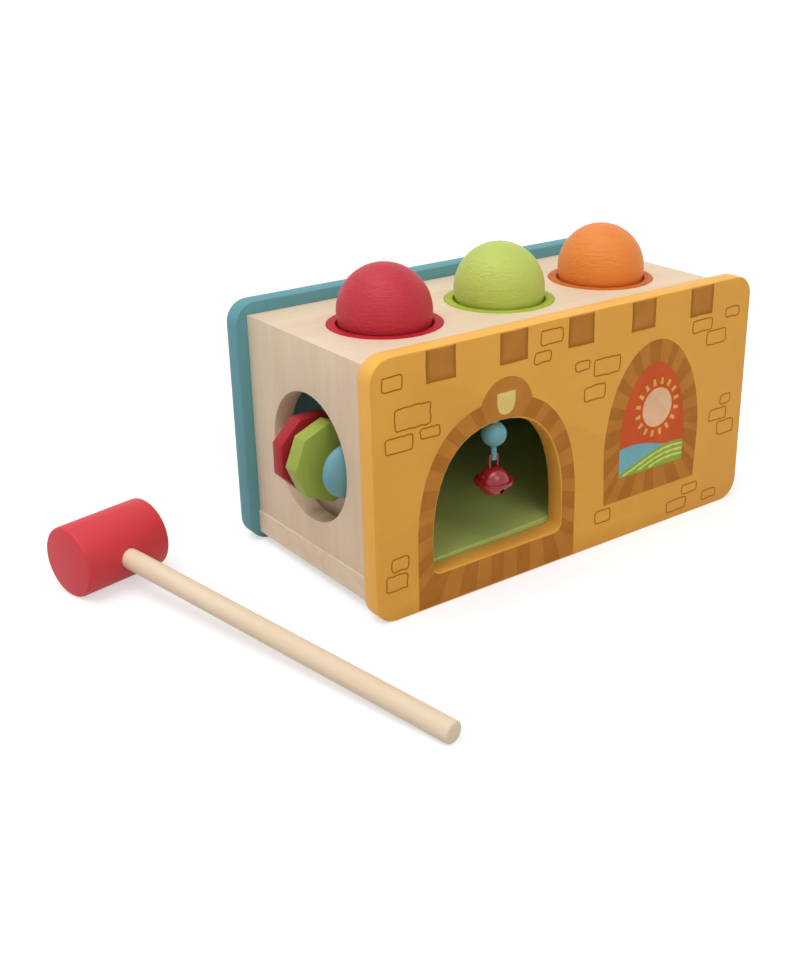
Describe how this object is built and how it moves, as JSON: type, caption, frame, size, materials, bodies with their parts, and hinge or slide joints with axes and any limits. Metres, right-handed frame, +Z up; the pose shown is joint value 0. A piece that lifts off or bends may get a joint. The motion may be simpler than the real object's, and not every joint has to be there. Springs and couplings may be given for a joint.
{
  "type": "pound and roll tower",
  "caption": "Wooden toy castle box: balls are pounded through gripping rings in its roof onto a sloping ramp and roll out of an arched doorway past a bell; spinner in one end, loose mallet.",
  "frame": {"origin": "middle of the front panel's standing edge, on the floor", "axes": "+Z up, -Y out of the front panel, +X towards the end without the spinner"},
  "size_m": [0.3409, 0.2362, 0.1489],
  "materials": {
    "yellow_paint": "wooden board in satin yellow paint with printed marks",
    "blue_paint": "wooden board in satin blue paint",
    "bare_wood": "pale clear-coated wood",
    "red_paint": "turned or cut wood in satin red paint",
    "green_paint": "turned or cut wood in satin green paint",
    "orange_paint": "turned wood in satin orange paint",
    "ramp_paint": "wooden board in matt green paint",
    "sky_paint": "turned wood in satin sky blue paint",
    "red_rubber": "soft moulded rubber",
    "green_rubber": "soft moulded rubber",
    "orange_rubber": "soft moulded rubber",
    "bell_enamel": "thin steel in glossy red enamel",
    "pellet_steel": "plain steel"
  },
  "bodies": {
    "tower": {"front_panel": "yellow_paint", "back_panel": "blue_paint", "left_end_panel": "bare_wood", "right_end_panel": "bare_wood", "top_board": "bare_wood", "bottom_board": "bare_wood", "ramp_board": "ramp_paint", "guide_fence": "bare_wood", "red_ring": "red_rubber", "green_ring": "green_rubber", "orange_ring": "orange_rubber", "spinner_axle": "bare_wood", "bell_hanger": "sky_paint", "front_dowel_1": "bare_wood", "front_dowel_2": "bare_wood", "front_dowel_3": "bare_wood", "front_dowel_4": "bare_wood", "front_dowel_5": "bare_wood", "front_dowel_6": "bare_wood", "front_dowel_7": "bare_wood", "front_dowel_8": "bare_wood", "back_dowel_1": "bare_wood", "back_dowel_2": "bare_wood", "back_dowel_3": "bare_wood", "back_dowel_4": "bare_wood", "back_dowel_5": "bare_wood", "back_dowel_6": "bare_wood", "back_dowel_7": "bare_wood", "back_dowel_8": "bare_wood"},
    "red_pounding_ball": {"red_ball": "red_paint"},
    "green_pounding_ball": {"green_ball": "green_paint"},
    "orange_pounding_ball": {"orange_ball": "orange_paint"},
    "green_spinner": {"green_octagon": "green_paint"},
    "red_spinner": {"red_octagon": "red_paint"},
    "blue_spinner": {"blue_bead": "sky_paint"},
    "bell": {"bell_loop": "bell_enamel", "bell_upper_shell": "bell_enamel", "bell_lower_shell": "bell_enamel"},
    "pellet": {"bell_pellet": "pellet_steel"},
    "mallet": {"mallet_head": "red_paint", "mallet_handle": "bare_wood"}
  },
  "joints": [
    {"name": "red_ball_drop", "type": "slide", "parent": "tower", "child": "red_pounding_ball", "axis": [0.0599, 0, -0.9982], "range_m": [-0.03, 0.0822], "deforming": ["red_ring"]},
    {"name": "green_ball_drop", "type": "slide", "parent": "tower", "child": "green_pounding_ball", "axis": [0, 0, -1], "range_m": [-0.03, 0.0805], "deforming": ["green_ring"]},
    {"name": "orange_ball_drop", "type": "slide", "parent": "tower", "child": "orange_pounding_ball", "axis": [0, 0, -1], "range_m": [-0.03, 0.0788], "deforming": ["orange_ring"]},
    {"name": "green_disc_spin", "type": "hinge", "parent": "tower", "child": "green_spinner", "pos_m": [-0.10975, 0.0493, 0.0624], "axis": [0, 1, 0], "continuous": true},
    {"name": "red_disc_spin", "type": "hinge", "parent": "tower", "child": "red_spinner", "pos_m": [-0.10975, 0.0633, 0.0624], "axis": [0, 1, 0], "continuous": true},
    {"name": "blue_bead_spin", "type": "hinge", "parent": "tower", "child": "blue_spinner", "pos_m": [-0.10975, 0.032, 0.0624], "axis": [0, 1, 0], "continuous": true},
    {"name": "bell_swing", "type": "hinge", "parent": "tower", "child": "bell", "pos_m": [-0.0492, 0, 0.0655], "axis": [1, 0, 0], "range_deg": [-70, 70]},
    {"name": "pellet_rattle", "type": "slide", "parent": "bell", "child": "pellet", "axis": [0, 0, 1], "range_m": [0, 0.007]},
    {"name": "mallet_lift", "type": "slide", "parent": "tower", "child": "mallet", "axis": [0, 0, 1], "range_m": [0, 0.15]}
  ]
}
